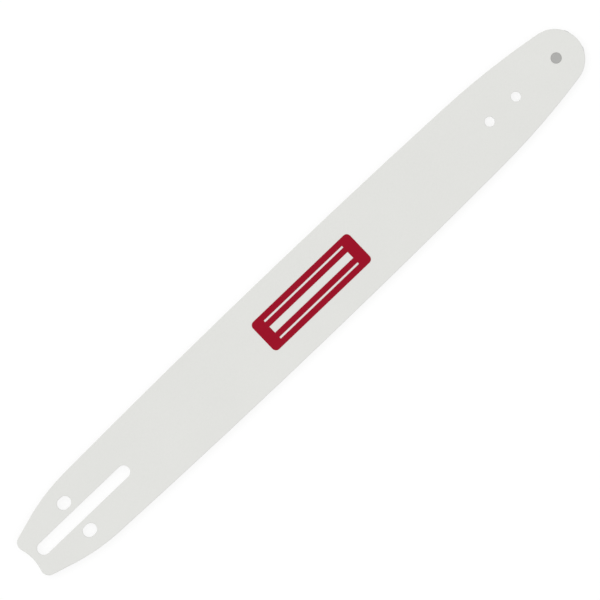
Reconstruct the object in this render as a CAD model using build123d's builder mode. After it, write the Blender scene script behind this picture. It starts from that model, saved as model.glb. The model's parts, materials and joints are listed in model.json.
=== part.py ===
from build123d import *
import os
from math import acos, asin, cos, degrees, pi, radians, sin, sqrt, tan

# Laminated chainsaw guide bar with a sprocket nose, lying on its side.
# Three stamped steel plates are spot-welded into a stack. The core plate is smaller than the two side
# plates, so a groove for the saw chain stays open along both rails. A star sprocket turns in the nose on
# a ring of loose rollers, round an inner race that one flush rivet clamps between the side plates.
# Millimetres. The origin is the middle of the stud slot on the lower side face, +X runs to the nose and
# +Z runs through the stack.

# Plate stack
side_thickness = 1.4
core_thickness = 1.4
groove_depth = 6.5
rail_chamfer = 0.3
hole_chamfer = 0.2

# Outline, from the nose back to the tail
nose_axis_x = 399.0
nose_radius = 18.6
nose_setback = 1.2
nose_flank_radius = 520.0
bar_width = 54.0
belly_radius = 6350.0
tail_shoulder_radius = 130.0
tail_taper_angle = 16.4
tail_width = 29.4
tail_corner_radius = 5.3
tail_wall = 5.0
notch_radius = 28.5

# Flare that leads the chain into the groove at each tail corner, ground into the inner faces
flare_length = 24.0
flare_width = 6.0
flare_depth = 0.6

# Mounting end
slot_length = 75.6
slot_width = 8.1
adjuster_x = -5.6
adjuster_spacing = 22.8
adjuster_length = 9.2
adjuster_width = 7.6
oil_channel_width = 2.5
core_horn_radius = 2.0

# Two holes behind the nose, measured back from the nose axis
tip_hole_setback = 34.0
tip_hole_spacing = 22.1
tip_hole_diameter = 6.2

# Nose rivet, countersunk into both side plates
rivet_shank_diameter = 5.0
rivet_head_angle = 90.0
rivet_hole_land = 0.4
rivet_edge_break = 0.12
rivet_clearance = 0.02

# Roller bearing
race_diameter = 11.0
race_edge_break = 0.15
roller_diameter = 3.0
roller_gap = 0.1
roller_edge_break = 0.2
bearing_clearance = 0.05
side_clearance = 0.05

# Star sprocket
tooth_count = 7
tooth_proud = 0.3
tooth_height = 6.0
tooth_tip_width = 3.6
tooth_tip_fillet = 0.9
gullet_bottom_radius = 3.4
sprocket_edge_break = 0.15
sprocket_pocket_clearance = 1.0

# Coloured film panel on the upper side plate, with its stripes cut out
panel_setback = 206.7
panel_length = 82.0
panel_width = 23.0
panel_corner_radius = 3.0
panel_thickness = 0.1
stripe_end_margin = 8.0
stripe_width = 5.0
line_edge_margin = 4.6
line_width = 1.3

# Levels and places that follow from the sizes above
core_bottom = side_thickness
core_top = core_bottom + core_thickness
bar_top = core_top + side_thickness
bar_middle = bar_top / 2
tail_x = -slot_length / 2 - tail_wall
tail_corner = Vector(tail_x, tail_width / 2)
taper_direction = Vector(cos(radians(tail_taper_angle)), sin(radians(tail_taper_angle)))
taper_normal = Vector(-taper_direction.Y, taper_direction.X)
nose_axis = Vector(nose_axis_x, 0)
nose_line = Axis((nose_axis_x, 0, 0), (0, 0, 1))
adjuster_places = [(adjuster_x, side * adjuster_spacing / 2) for side in (1, -1)]
tip_hole_places = [(nose_axis_x - tip_hole_setback - step * tip_hole_spacing, 0) for step in (0, 1)]

rivet_head_slope = tan(radians(rivet_head_angle / 2))
rivet_head_depth = side_thickness - rivet_hole_land
rivet_shank_radius = rivet_shank_diameter / 2
rivet_head_radius = rivet_shank_radius + rivet_head_depth * rivet_head_slope

race_radius = race_diameter / 2
roller_radius = roller_diameter / 2
roller_circle_radius = race_radius + bearing_clearance + roller_radius
roller_pitch_angle = 2 * asin((roller_radius + roller_gap / 2) / roller_circle_radius)
roller_count = int(2 * pi / roller_pitch_angle)

sprocket_bore_radius = roller_circle_radius + roller_radius + bearing_clearance
running_bottom = core_bottom + side_clearance
running_thickness = core_thickness - 2 * side_clearance
tooth_tip_radius = nose_radius - nose_setback + tooth_proud
gullet_root_radius = tooth_tip_radius - tooth_height


def circles_meet(centre_a, radius_a, centre_b, radius_b):
    """The rear one of the two points where two circles cross."""
    line = centre_b - centre_a
    along = (radius_a**2 - radius_b**2 + line.length**2) / (2 * line.length)
    across = sqrt(radius_a**2 - along**2)
    unit = line.normalized()
    foot = centre_a + unit * along
    crossings = [foot + Vector(-unit.Y, unit.X) * side * across for side in (1, -1)]
    return min(crossings, key=lambda point: point.X)


def point_at_distance(start, direction, centre, distance):
    """The point ahead on a line that lies at a given distance from a centre."""
    offset = start - centre
    lead = offset.dot(direction)
    return start + direction * (sqrt(lead**2 - offset.length**2 + distance**2) - lead)


def bar_outline(inset=0.0):
    """The bar's face, with both rails moved in by inset and the tail end left where it is.

    Each rail is four arcs that run into each other (nose, flank, belly and tail shoulder) and a straight
    taper. A rail that is moved in keeps the centre of every arc.
    """
    nose = nose_axis - Vector(nose_setback, 0)
    belly = Vector((tail_x + nose_axis_x) / 2, bar_width / 2 - belly_radius)
    flank = circles_meet(nose, nose_flank_radius - nose_radius, belly, belly_radius - nose_flank_radius)
    shoulder = point_at_distance(
        tail_corner - taper_normal * tail_shoulder_radius,
        taper_direction,
        belly,
        belly_radius - tail_shoulder_radius,
    )
    arcs = [
        (nose, nose_radius),
        (flank, nose_flank_radius),
        (belly, belly_radius),
        (shoulder, tail_shoulder_radius),
    ]
    normals = [
        Vector(1, 0),
        (nose - flank).normalized(),
        (flank - belly).normalized(),
        (shoulder - belly).normalized(),
        taper_normal,
    ]
    notch_depth = tail_width**2 / (8 * notch_radius)
    tail_end_x = tail_x - 2 * notch_depth
    with BuildSketch() as outline:
        with BuildLine():
            for (centre, radius), start, end in zip(arcs, normals, normals[1:]):
                reach = radius - inset
                middle = (start + end).normalized()
                ThreePointArc(centre + start * reach, centre + middle * reach, centre + end * reach)
            taper_start = shoulder + taper_normal * (tail_shoulder_radius - inset)
            taper_length = (taper_start.X - tail_end_x) / taper_direction.X
            Polyline(taper_start, taper_start - taper_direction * taper_length, (tail_end_x, 0))
            mirror(about=Plane.XZ)
        make_face()
        with Locations((tail_x - notch_radius, 0)):
            Circle(notch_radius, mode=Mode.SUBTRACT)
    return outline.sketch


# Upper side plate: the full outline, with chamfered rails, a countersunk hole for the rivet and a flat
# flare under each tail corner
flare_start = tail_corner + taper_direction * flare_length
flare_normal = Vector(0, 0, 1) - taper_normal * (flare_depth / flare_width)
flare_normal += taper_direction * (flare_depth / flare_length)
with BuildPart() as side_plate_upper:
    with BuildSketch(Plane.XY.offset(core_top)) as side_profile:
        add(bar_outline())
        fillet(side_profile.vertices().group_by(Axis.X)[0], tail_corner_radius)
        SlotOverall(slot_length, slot_width, mode=Mode.SUBTRACT)
        with Locations(*adjuster_places):
            SlotOverall(adjuster_length, adjuster_width, mode=Mode.SUBTRACT)
        with Locations(*tip_hole_places):
            Circle(tip_hole_diameter / 2, mode=Mode.SUBTRACT)
    extrude(amount=side_thickness)
    chamfer(side_plate_upper.faces().sort_by(Axis.Z)[-1].outer_wire().edges(), rail_chamfer)
    hole_wires = side_plate_upper.faces().sort_by(Axis.Z)[-1].inner_wires()
    chamfer([edge for wire in hole_wires for edge in wire.edges()], hole_chamfer)
    with Locations((nose_axis_x, 0, bar_top)):
        CounterSinkHole(
            rivet_shank_radius + rivet_clearance,
            rivet_head_radius + rivet_clearance,
            counter_sink_angle=rivet_head_angle,
        )
    for side in (1, -1):
        flare = Plane(
            (flare_start.X, side * flare_start.Y, core_top),
            z_dir=(flare_normal.X, side * flare_normal.Y, flare_normal.Z),
        )
        split(bisect_by=flare, keep=Keep.TOP)
side_plate_upper.part.label = "side_plate_upper"

# Lower side plate: the same stamping, turned over
with BuildPart() as side_plate_lower:
    mirror(side_plate_upper.part, about=Plane.XY.offset(bar_middle))
side_plate_lower.part.label = "side_plate_lower"

# Core plate: set in from both rails, hollowed at the nose to clear the sprocket, with a channel that
# leads oil from each adjuster slot to the groove
with BuildPart() as core_plate:
    with BuildSketch(Plane.XY.offset(core_bottom)) as core_profile:
        add(bar_outline(groove_depth))
        SlotOverall(slot_length, slot_width, mode=Mode.SUBTRACT)
        with Locations(*adjuster_places):
            SlotOverall(adjuster_length, adjuster_width, mode=Mode.SUBTRACT)
        for place_x, place_y in adjuster_places:
            channel_end = place_y + (bar_width / 2 if place_y > 0 else -bar_width / 2)
            with Locations((place_x, (place_y + channel_end) / 2)):
                Rectangle(oil_channel_width, abs(channel_end - place_y), mode=Mode.SUBTRACT)
        with Locations(*tip_hole_places):
            Circle(tip_hole_diameter / 2, mode=Mode.SUBTRACT)
        with Locations((nose_axis_x, 0)):
            Circle(tooth_tip_radius + sprocket_pocket_clearance, mode=Mode.SUBTRACT)
        fillet(core_profile.vertices().group_by(Axis.X)[-1], core_horn_radius)
    extrude(amount=core_thickness)
core_plate.part.label = "core_plate"

# One gullet of the sprocket, on the X axis: a round bottom, and two flanks that touch it and reach
# the tips of the teeth on either side
gullet_centre = Vector(gullet_root_radius + gullet_bottom_radius, 0)
tooth_tip_angle = pi / tooth_count - asin(tooth_tip_width / 2 / tooth_tip_radius)
tooth_corner = Vector(cos(tooth_tip_angle), sin(tooth_tip_angle)) * tooth_tip_radius
corner_offset = tooth_corner - gullet_centre
tangent_turn = degrees(acos(gullet_bottom_radius / corner_offset.length))
flank_start = gullet_centre + (corner_offset.normalized() * gullet_bottom_radius).rotate(Axis.Z, tangent_turn)
flank_end = tooth_corner * 2 - flank_start
with BuildSketch() as gullet:
    with BuildLine():
        Line(flank_end, flank_start)
        ThreePointArc(flank_start, (gullet_root_radius, 0), (flank_start.X, -flank_start.Y))
        Line((flank_start.X, -flank_start.Y), (flank_end.X, -flank_end.Y))
        Line((flank_end.X, -flank_end.Y), flank_end)
    make_face()

# Star sprocket: a disc with its gullets cut out, turning between the side plates
with BuildPart() as nose_sprocket:
    with BuildSketch(Plane((nose_axis_x, 0, running_bottom))) as star:
        Circle(tooth_tip_radius)
        with PolarLocations(0, tooth_count):
            add(gullet.sketch, mode=Mode.SUBTRACT)
        fillet(star.vertices().group_by(SortBy.DISTANCE)[-1], tooth_tip_fillet)
        Circle(sprocket_bore_radius, mode=Mode.SUBTRACT)
    extrude(amount=running_thickness)
    star_faces = nose_sprocket.faces().filter_by(Axis.Z)
    chamfer([edge for face in star_faces for edge in face.outer_wire().edges()], sprocket_edge_break)
nose_sprocket.part.label = "nose_sprocket"

# Inner race: a ring as thick as the core, clamped between the side plates
with BuildPart() as bearing_inner_race:
    with BuildSketch(Plane((nose_axis_x, 0, core_bottom))):
        Circle(race_radius)
        Circle(rivet_shank_radius + rivet_clearance, mode=Mode.SUBTRACT)
    extrude(amount=core_thickness)
    race_faces = bearing_inner_race.faces().filter_by(Axis.Z)
    chamfer([edge for face in race_faces for edge in face.outer_wire().edges()], race_edge_break)
bearing_inner_race.part.label = "bearing_inner_race"

# Loose rollers, side by side round the race
bearing_rollers = []
for index in range(roller_count):
    turn = 2 * pi * index / roller_count
    roller_place = nose_axis + Vector(cos(turn), sin(turn)) * roller_circle_radius
    with BuildPart() as bearing_roller:
        with BuildSketch(Plane((roller_place.X, roller_place.Y, running_bottom))):
            Circle(roller_radius)
        extrude(amount=running_thickness)
        chamfer(bearing_roller.edges().filter_by(GeomType.CIRCLE), roller_edge_break)
    bearing_roller.part.label = f"bearing_roller_{index + 1:02d}"
    bearing_rollers.append(bearing_roller)

# Nose rivet: a shank with a countersunk head at each end, flush with the side plates
with BuildPart() as nose_rivet:
    with BuildSketch(Plane((nose_axis_x, 0, 0), x_dir=(1, 0, 0), z_dir=(0, -1, 0))):
        with BuildLine():
            rim_radius = rivet_head_radius - rivet_edge_break * rivet_head_slope
            Polyline(
                (0, 0),
                (rim_radius - rivet_edge_break, 0),
                (rim_radius, rivet_edge_break),
                (rivet_shank_radius, rivet_head_depth),
                (rivet_shank_radius, bar_top - rivet_head_depth),
                (rim_radius, bar_top - rivet_edge_break),
                (rim_radius - rivet_edge_break, bar_top),
                (0, bar_top),
                close=True,
            )
        make_face()
    revolve(axis=nose_line)
nose_rivet.part.label = "nose_rivet"

# Coloured film panel: one broad stripe and two lines are cut out, so that the plate shows through
panel_x = nose_axis_x - panel_setback
stripe_length = panel_length - 2 * stripe_end_margin
line_offset = panel_width / 2 - line_edge_margin
with BuildPart() as colour_panel:
    with BuildSketch(Plane((panel_x, 0, bar_top))):
        RectangleRounded(panel_length, panel_width, panel_corner_radius)
        Rectangle(stripe_length, stripe_width, mode=Mode.SUBTRACT)
        with Locations((0, line_offset), (0, -line_offset)):
            Rectangle(stripe_length, line_width, mode=Mode.SUBTRACT)
    extrude(amount=panel_thickness)
colour_panel.part.label = "colour_panel"

pieces = [
    side_plate_lower,
    core_plate,
    side_plate_upper,
    nose_sprocket,
    bearing_inner_race,
    *bearing_rollers,
    nose_rivet,
    colour_panel,
]
os.makedirs("parts", exist_ok=True)
for piece in pieces:
    export_step(piece.part, f"parts/{piece.part.label}.step")
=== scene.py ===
import json
import math

import bpy
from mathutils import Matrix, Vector


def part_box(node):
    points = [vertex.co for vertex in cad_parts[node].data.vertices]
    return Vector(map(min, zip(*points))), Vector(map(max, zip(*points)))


# A chainsaw guide bar that lies flat: the finishes of its pieces, a pale floor, soft light and the camera.
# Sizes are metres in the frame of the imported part: +X runs to the nose and +Z up through the three plates.

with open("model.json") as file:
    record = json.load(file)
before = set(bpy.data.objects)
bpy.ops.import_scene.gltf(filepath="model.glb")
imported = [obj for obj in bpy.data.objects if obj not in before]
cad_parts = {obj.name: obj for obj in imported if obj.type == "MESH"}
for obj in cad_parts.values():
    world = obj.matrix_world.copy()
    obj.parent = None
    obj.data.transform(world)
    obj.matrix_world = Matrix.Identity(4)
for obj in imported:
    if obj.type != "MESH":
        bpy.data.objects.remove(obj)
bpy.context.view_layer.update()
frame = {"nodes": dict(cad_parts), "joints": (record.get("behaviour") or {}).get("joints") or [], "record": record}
nodes = frame["nodes"]
mounts = {mount["name"]: mount for mount in frame["record"]["mounts"]}
nose_axis = Vector(frame["joints"][0]["pos_m"])

# Levels and places of the plates
lower_corner, upper_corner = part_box("side_plate_upper")
bar_top = upper_corner.z
bar_middle = bar_top / 2
core_half_thickness = lower_corner.z - bar_middle
tail_end_x = lower_corner.x
tail_notch_depth = 0.0017

# Length and width of the slots, by the names of their mounts
stud_slot_size = (0.0756, 0.0081)
adjuster_slot_size = (0.0092, 0.0076)
slot_sizes = {
    "stud_slot": stud_slot_size,
    "adjuster_slot_left": adjuster_slot_size,
    "adjuster_slot_right": adjuster_slot_size,
}

# Where one finish of the plates ends and the next begins
cut_wall_reach = 0.00035
painted_edge_height = 0.00031
inner_face_margin = 0.00001
seam_half_width = 0.00004
flat_face_limit = 0.9

# Colours, most of them a darker and a lighter shade that a texture runs between
paint_shades = (0.738, 0.741, 0.716), (0.768, 0.771, 0.745)
seam_colour = (0.20, 0.20, 0.19)
ground_shades = (0.24, 0.235, 0.23), (0.80, 0.79, 0.77)
oily_shades = (0.30, 0.285, 0.265), (0.46, 0.44, 0.415)
tumbled_shades = (0.27, 0.27, 0.28), (0.58, 0.58, 0.59)
polished_shades = (0.56, 0.57, 0.59), (0.72, 0.73, 0.75)
spun_shades = (0.272, 0.272, 0.265), (0.386, 0.386, 0.377)
film_shades = (0.298, 0.0015, 0.0150), (0.338, 0.0025, 0.0185)

# The photograph: a square picture that looks straight down, with the bar lying across it
photo_pixels = 600
metres_per_pixel = 0.00061
bar_turn = math.radians(43.735)
view_setback = 0.21496
view_offset = 0.00137
view_centre = Vector((nose_axis.x - view_setback, view_offset, bar_top))
camera_lens = 900.0
camera_sensor = 36.0


class Finish:
    """A material of nodes round one Principled shader, with a short call for each kind of node it needs."""

    def __init__(self, name):
        self.material = bpy.data.materials.new(name)
        self.material.use_nodes = True
        self.tree = self.material.node_tree
        coordinates = self.tree.nodes.new("ShaderNodeTexCoord")
        self.place = coordinates.outputs["Object"]
        self.normal = coordinates.outputs["Normal"]

    def put(self, value, socket):
        """Links an output to a socket, or sets the socket to a plain value."""
        if isinstance(value, bpy.types.NodeSocket):
            self.tree.links.new(value, socket)
        else:
            socket.default_value = value

    def part(self, vector, axis):
        """The X, Y or Z of a vector."""
        node = self.tree.nodes.new("ShaderNodeSeparateXYZ")
        self.put(vector, node.inputs[0])
        return node.outputs[axis]

    def math(self, operation, first, second=0.0, third=0.0):
        """A number worked out from one, two or three others."""
        node = self.tree.nodes.new("ShaderNodeMath")
        node.operation = operation
        for value, socket in zip((first, second, third), node.inputs):
            self.put(value, socket)
        return node.outputs[0]

    def from_axis(self, axis, half_straight=0.0):
        """Distance in plan from an upright axis, or from a straight line along X through it."""
        along = self.math("ABSOLUTE", self.math("SUBTRACT", self.part(self.place, "X"), axis[0]))
        past_straight = self.math("MAXIMUM", self.math("SUBTRACT", along, half_straight), 0.0)
        across = self.math("SUBTRACT", self.part(self.place, "Y"), axis[1])
        across_square = self.math("MULTIPLY", across, across)
        return self.math("SQRT", self.math("MULTIPLY_ADD", past_straight, past_straight, across_square))

    def blend(self, share, low, high):
        """A number between two numbers."""
        node = self.tree.nodes.new("ShaderNodeMapRange")
        for value, name in ((share, "Value"), (low, "To Min"), (high, "To Max")):
            self.put(value, node.inputs[name])
        return node.outputs[0]

    def mix(self, share, first, second):
        """A colour between two colours, each an output or a red, green and blue."""
        node = self.tree.nodes.new("ShaderNodeMix")
        node.data_type = "RGBA"
        sockets = {socket.identifier: socket for socket in node.inputs}
        self.put(share, sockets["Factor_Float"])
        for value, name in ((first, "A_Color"), (second, "B_Color")):
            self.put((*value, 1.0) if isinstance(value, tuple) else value, sockets[name])
        return next(socket for socket in node.outputs if socket.identifier == "Result_Color")

    def noise(self, per_metre, upward_per_metre=None, detail=3.0, roughness=0.55):
        """Noise with a number of grains per metre, which may be another number upward than in plan."""
        stretch = self.tree.nodes.new("ShaderNodeVectorMath")
        stretch.operation = "MULTIPLY"
        self.put(self.place, stretch.inputs[0])
        self.put((per_metre, per_metre, upward_per_metre or per_metre), stretch.inputs[1])
        node = self.tree.nodes.new("ShaderNodeTexNoise")
        settings = {"Vector": stretch.outputs[0], "Scale": 1.0, "Detail": detail, "Roughness": roughness}
        for name, value in settings.items():
            self.put(value, node.inputs[name])
        return node.outputs["Fac"]

    def surface(self, relief, relief_depth, **settings):
        """Sets the shader, with a relief of a depth in metres."""
        bump = self.tree.nodes.new("ShaderNodeBump")
        self.put(relief, bump.inputs["Height"])
        self.put(relief_depth, bump.inputs["Distance"])
        shader = self.tree.nodes["Principled BSDF"]
        self.put(bump.outputs[0], shader.inputs["Normal"])
        for name, value in settings.items():
            self.put(value, shader.inputs[name.replace("_", " ")])
        return self.material


def cut_walls(finish):
    """Marks the slots, the round holes and the tail notch, whose walls the paint covers too."""
    marked = finish.math("LESS_THAN", finish.part(finish.place, "X"), tail_end_x + tail_notch_depth)
    for name, mount in mounts.items():
        if mount["kind"] == "bore":
            radius, half_straight = mount["dims"]["r_mm"] / 1000, 0.0
        elif name in slot_sizes:
            length, width = slot_sizes[name]
            radius, half_straight = width / 2, (length - width) / 2
        else:
            continue
        from_hole = finish.from_axis(mount["pos_m"], half_straight)
        in_hole = finish.math("LESS_THAN", from_hole, radius + cut_wall_reach)
        marked = finish.math("MAXIMUM", marked, in_hole)
    return marked


def laminate(name):
    """Satin paint outside and on cut walls, ground steel on rails and flares, oily steel in the groove."""
    finish = Finish(name)
    height = finish.part(finish.place, "Z")
    upright = finish.math("ABSOLUTE", finish.part(finish.normal, "Z"))
    from_middle = finish.math("ABSOLUTE", finish.math("SUBTRACT", height, bar_middle))
    on_face = finish.math("GREATER_THAN", from_middle, bar_middle - painted_edge_height)
    on_wall = finish.math("LESS_THAN", upright, flat_face_limit)
    on_cut_wall = finish.math("MULTIPLY", on_wall, cut_walls(finish))
    painted = finish.math("MAXIMUM", on_face, on_cut_wall)
    was_ground = finish.math("GREATER_THAN", from_middle, core_half_thickness + inner_face_margin)
    on_rail = finish.math("MULTIPLY", on_wall, was_ground)
    at_seam = finish.math("COMPARE", from_middle, core_half_thickness, seam_half_width)

    cloud = finish.noise(per_metre=22.0)
    peel = finish.noise(per_metre=750.0, detail=2.0)
    grinding = finish.noise(per_metre=60.0, upward_per_metre=5200.0, detail=5.0, roughness=0.7)
    paint = finish.mix(at_seam, finish.mix(cloud, *paint_shades), seam_colour)
    ground = finish.mix(grinding, *ground_shades)
    oily = finish.mix(cloud, *oily_shades)
    paint_gloss = finish.blend(peel, 0.42, 0.54)
    steel_gloss = finish.blend(grinding, 0.22, 0.44)
    steel_shine = finish.blend(on_rail, 0.35, 1.0)
    return finish.surface(
        relief=finish.blend(painted, grinding, peel),
        relief_depth=0.00011,
        Base_Color=finish.mix(painted, finish.mix(was_ground, oily, ground), paint),
        Metallic=finish.blend(painted, steel_shine, 0.0),
        Roughness=finish.blend(painted, steel_gloss, paint_gloss),
        Specular_IOR_Level=0.25,
    )


def tumbled_steel(name):
    """Hardened steel, pitted a little all over by tumbling."""
    finish = Finish(name)
    pits = finish.noise(per_metre=1600.0, detail=4.0, roughness=0.65)
    return finish.surface(
        relief=pits,
        relief_depth=0.00002,
        Base_Color=finish.mix(pits, *tumbled_shades),
        Metallic=1.0,
        Roughness=finish.blend(pits, 0.26, 0.44),
    )


def polished_steel(name):
    """Bearing steel with fine marks round the rollers and the race."""
    finish = Finish(name)
    marks = finish.noise(per_metre=500.0, upward_per_metre=9000.0, detail=4.0)
    return finish.surface(
        relief=marks,
        relief_depth=0.000002,
        Base_Color=finish.mix(marks, *polished_shades),
        Metallic=1.0,
        Roughness=finish.blend(marks, 0.08, 0.22),
    )


def spun_steel(name):
    """The rivet's steel, with the faint uneven rings that spinning its head leaves."""
    ring_pitch = 0.0005
    ring_wobble = 5.0
    ring_strength = 0.22
    finish = Finish(name)
    wobble = finish.noise(per_metre=900.0)
    grain = finish.noise(per_metre=5000.0)
    turns = finish.math("MULTIPLY", finish.from_axis(nose_axis), 2 * math.pi / ring_pitch)
    rings = finish.math("SINE", finish.math("MULTIPLY_ADD", wobble, ring_wobble, turns))
    shade = finish.math("MULTIPLY_ADD", rings, ring_strength, grain)
    return finish.surface(
        relief=shade,
        relief_depth=0.000012,
        Base_Color=finish.mix(shade, *spun_shades),
        Metallic=1.0,
        Roughness=finish.blend(shade, 0.34, 0.48),
    )


def red_film(name):
    """Thin printed film with a satin gloss, a faint texture and a little unevenness in its colour."""
    finish = Finish(name)
    cloud = finish.noise(per_metre=70.0)
    texture = finish.noise(per_metre=1900.0, detail=2.0)
    return finish.surface(
        relief=texture,
        relief_depth=0.000012,
        Base_Color=finish.mix(cloud, *film_shades),
        Metallic=0.0,
        Roughness=finish.blend(texture, 0.48, 0.62),
        Specular_IOR_Level=0.08,
    )


def dress(material, *names):
    """Gives CAD nodes their finish."""
    for name in names:
        for slot in nodes[name].material_slots:
            slot.material = material


def grey(level):
    """A neutral colour, as a socket takes it."""
    return (level, level, level, 1.0)


def add_shader(tree, kind, **settings):
    """Adds a shader with its settings, and gives its output."""
    node = tree.nodes.new(kind)
    for name, value in settings.items():
        node.inputs[name].default_value = value
    return node.outputs[0]


def end_tree(tree, output_kind, plain, shown):
    """Ends a tree in one shader that the camera, gloss and glass see, and a plain one for other light."""
    light_path = tree.nodes.new("ShaderNodeLightPath")
    seen = light_path.outputs["Is Camera Ray"]
    for name in ("Is Glossy Ray", "Is Transmission Ray"):
        either = tree.nodes.new("ShaderNodeMath")
        either.operation = "MAXIMUM"
        tree.links.new(seen, either.inputs[0])
        tree.links.new(light_path.outputs[name], either.inputs[1])
        seen = either.outputs[0]
    choice = tree.nodes.new("ShaderNodeMixShader")
    for source, socket in zip((seen, plain, shown), choice.inputs):
        tree.links.new(source, socket)
    output = tree.nodes.new(output_kind)
    tree.links.new(choice.outputs[0], output.inputs["Surface"])


def pale_floor(size, drop, bounce, shadow_share, own_white):
    """A wide white floor just under the bar. Part of its white is its own, so the shadow shows lightly."""
    bpy.ops.mesh.primitive_plane_add(size=size, location=(view_centre.x, view_centre.y, -drop))
    floor = bpy.context.object
    floor.name = "floor"
    material = bpy.data.materials.new("floor_white")
    material.use_nodes = True
    tree = material.node_tree
    tree.nodes.clear()
    plain = add_shader(tree, "ShaderNodeBsdfDiffuse", Color=grey(bounce))
    shaded = add_shader(tree, "ShaderNodeBsdfDiffuse", Color=grey(shadow_share))
    white = add_shader(tree, "ShaderNodeEmission", Strength=own_white)
    shown = tree.nodes.new("ShaderNodeAddShader")
    tree.links.new(shaded, shown.inputs[0])
    tree.links.new(white, shown.inputs[1])
    end_tree(tree, "ShaderNodeOutputMaterial", plain, shown.outputs[0])
    floor.data.materials.append(material)


def white_world(ambient, shown_white):
    """A white world all round, which lights the bar less than it shows."""
    world = bpy.data.worlds.new("white_world")
    bpy.context.scene.world = world
    world.use_nodes = True
    tree = world.node_tree
    tree.nodes.clear()
    plain = add_shader(tree, "ShaderNodeBackground", Color=grey(1.0), Strength=ambient)
    shown = add_shader(tree, "ShaderNodeBackground", Color=grey(1.0), Strength=shown_white)
    end_tree(tree, "ShaderNodeOutputWorld", plain, shown)


def soft_sun(name, towards, spread, strength):
    """A lamp far away in one direction, with soft edges to its shadow, that lights all the floor alike."""
    lamp = bpy.data.lights.new(name, "SUN")
    lamp.angle = math.radians(spread)
    lamp.energy = strength
    holder = bpy.data.objects.new(name, lamp)
    holder.rotation_euler = Vector(towards).to_track_quat("Z", "Y").to_euler()
    bpy.context.scene.collection.objects.link(holder)


def photo_camera():
    """A camera straight above with a long lens, turned so that the bar lies as in the photograph."""
    camera = bpy.data.cameras.new("camera")
    camera.lens = camera_lens
    camera.sensor_width = camera_sensor
    holder = bpy.data.objects.new("camera", camera)
    height = photo_pixels * metres_per_pixel * camera_lens / camera_sensor
    holder.location = view_centre + Vector((0.0, 0.0, height))
    holder.rotation_euler = (0.0, 0.0, -bar_turn)
    bpy.context.scene.collection.objects.link(holder)
    bpy.context.scene.camera = holder


rollers = sorted(name for name in nodes if name.startswith("bearing_roller"))
dress(laminate("pale_paint"), "side_plate_upper", "side_plate_lower")
dress(laminate("core_sheet"), "core_plate")
dress(tumbled_steel("tumbled_steel"), "nose_sprocket")
dress(polished_steel("polished_steel"), "bearing_inner_race", *rollers)
dress(spun_steel("spun_steel"), "nose_rivet")
dress(red_film("red_film"), "colour_panel")

pale_floor(size=30.0, drop=0.0001, bounce=0.82, shadow_share=0.2, own_white=0.82)
white_world(ambient=0.67, shown_white=1.0)
soft_sun("key_light", towards=(-0.6, 1.3, 1.5), spread=80.0, strength=1.05)
soft_sun("fill_light", towards=(0.8, -1.1, 1.2), spread=80.0, strength=0.4)
photo_camera()
bpy.context.scene.view_settings.view_transform = "Standard"
